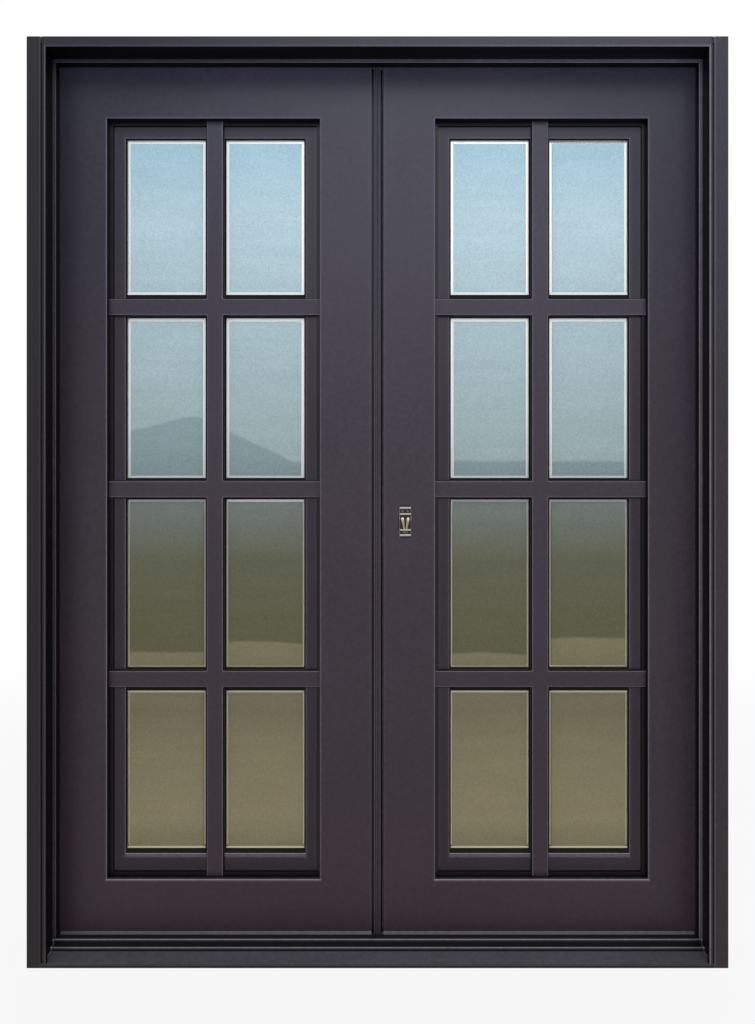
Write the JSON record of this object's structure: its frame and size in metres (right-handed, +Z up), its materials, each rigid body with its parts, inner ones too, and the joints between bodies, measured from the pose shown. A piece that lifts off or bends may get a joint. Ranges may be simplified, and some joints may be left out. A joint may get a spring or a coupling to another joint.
{
  "type": "wrought iron double door",
  "caption": "Inward-opening steel double door in its own frame, with glazed sashes that open behind fixed grilles, an astragal with flush bolts, and a dead bolt lock.",
  "frame": {"origin": "middle of the sill's underside, half way through the frame's depth", "axes": "+X to the right seen from outside, +Y into the room, +Z up"},
  "size_m": [1.83, 0.186, 2.43],
  "materials": {
    "paint": "dark bronze, satin, orange peel",
    "sash_paint": "dark bronze paint, satin",
    "glass": "clear",
    "spacer": "mill",
    "seal": "black",
    "nickel": "aged satin nickel",
    "steel": "zinc",
    "brass": "plain"
  },
  "bodies": {
    "frame": {"jamb_left": "paint", "jamb_right": "paint", "head": "paint", "sill_plate": "paint", "threshold": "paint", "jamb_beads": "paint", "head_bead": "paint", "jamb_stops": "paint", "head_stop": "paint", "frame_seals": "seal", "bolt_keeps": "steel", "hinge_frame_knuckles": "paint", "hinge_pins": "paint", "hinge_washers": "brass"},
    "left_leaf": {"left_front_skin": "paint", "left_hinge_stile": "paint", "left_lock_stile": "paint", "left_top_rail": "paint", "left_bottom_rail": "paint", "left_grille": "paint", "left_weather_bar": "paint", "left_leaf_knuckles": "paint", "left_sash_hinge_pins": "paint", "astragal": "paint", "meeting_seal": "seal", "strike_plate": "nickel"},
    "left_sash_frame": {"left_sash": "sash_paint", "left_outer_panes": "glass", "left_glass_spacers": "spacer", "left_inner_panes": "glass", "left_glazing_beads": "sash_paint", "left_sash_knuckles": "paint"},
    "left_lower_button": {"left_lower_turn_button": "paint"},
    "left_upper_button": {"left_upper_turn_button": "paint"},
    "right_leaf": {"right_front_skin": "paint", "right_hinge_stile": "paint", "right_lock_stile": "paint", "right_top_rail": "paint", "right_bottom_rail": "paint", "right_grille": "paint", "right_weather_bar": "paint", "right_leaf_knuckles": "paint", "right_sash_hinge_pins": "paint", "lock_case": "steel", "lock_face_plate": "nickel", "lock_trim": "nickel", "lock_rose": "nickel"},
    "right_sash_frame": {"right_sash": "sash_paint", "right_outer_panes": "glass", "right_glass_spacers": "spacer", "right_inner_panes": "glass", "right_glazing_beads": "sash_paint", "right_sash_knuckles": "paint"},
    "right_lower_button": {"right_lower_turn_button": "paint"},
    "right_upper_button": {"right_upper_turn_button": "paint"},
    "top_bolt": {"top_flush_bolt": "steel"},
    "bottom_bolt": {"bottom_flush_bolt": "steel"},
    "turn": {"lock_turn": "nickel"},
    "bolt": {"dead_bolt": "brass"}
  },
  "joints": [
    {"name": "left_leaf_hinge", "type": "hinge", "parent": "frame", "child": "left_leaf", "pos_m": [-0.8835, 0.0875, 1.2], "axis": [0, 0, 1], "range_deg": [0, 100]},
    {"name": "left_sash_hinge", "type": "hinge", "parent": "left_leaf", "child": "left_sash_frame", "pos_m": [-0.7405, 0.0835, 1.22], "axis": [0, 0, 1], "range_deg": [0, 90]},
    {"name": "left_lower_button_turn", "type": "hinge", "parent": "left_leaf", "child": "left_lower_button", "pos_m": [-0.146, 0.078, 0.61], "axis": [0, -1, 0], "range_deg": [0, 90]},
    {"name": "left_upper_button_turn", "type": "hinge", "parent": "left_leaf", "child": "left_upper_button", "pos_m": [-0.146, 0.078, 1.837], "axis": [0, -1, 0], "range_deg": [0, 90]},
    {"name": "right_leaf_hinge", "type": "hinge", "parent": "frame", "child": "right_leaf", "pos_m": [0.8835, 0.0875, 1.2], "axis": [0, 0, -1], "range_deg": [0, 100], "deforming": ["meeting_seal"]},
    {"name": "right_sash_hinge", "type": "hinge", "parent": "right_leaf", "child": "right_sash_frame", "pos_m": [0.7405, 0.0835, 1.22], "axis": [0, 0, -1], "range_deg": [0, 90]},
    {"name": "right_lower_button_turn", "type": "hinge", "parent": "right_leaf", "child": "right_lower_button", "pos_m": [0.146, 0.078, 0.61], "axis": [0, 1, 0], "range_deg": [0, 90]},
    {"name": "right_upper_button_turn", "type": "hinge", "parent": "right_leaf", "child": "right_upper_button", "pos_m": [0.146, 0.078, 1.837], "axis": [0, 1, 0], "range_deg": [0, 90]},
    {"name": "top_bolt_slide", "type": "slide", "parent": "left_leaf", "child": "top_bolt", "axis": [0, 0, 1], "range_m": [0, 0.02]},
    {"name": "bottom_bolt_slide", "type": "slide", "parent": "left_leaf", "child": "bottom_bolt", "axis": [0, 0, -1], "range_m": [0, 0.02]},
    {"name": "lock_turn_hinge", "type": "hinge", "parent": "right_leaf", "child": "turn", "pos_m": [0.0765, 0.078, 1.1895], "axis": [0, 1, 0], "range_deg": [0, 90]},
    {"name": "dead_bolt_slide", "type": "slide", "parent": "right_leaf", "child": "bolt", "axis": [-1, 0, 0], "range_m": [0, 0.02]}
  ],
  "couplings": [
    {"joint": "dead_bolt_slide", "follows": "lock_turn_hinge", "m_per_rad": 0.01273}
  ]
}
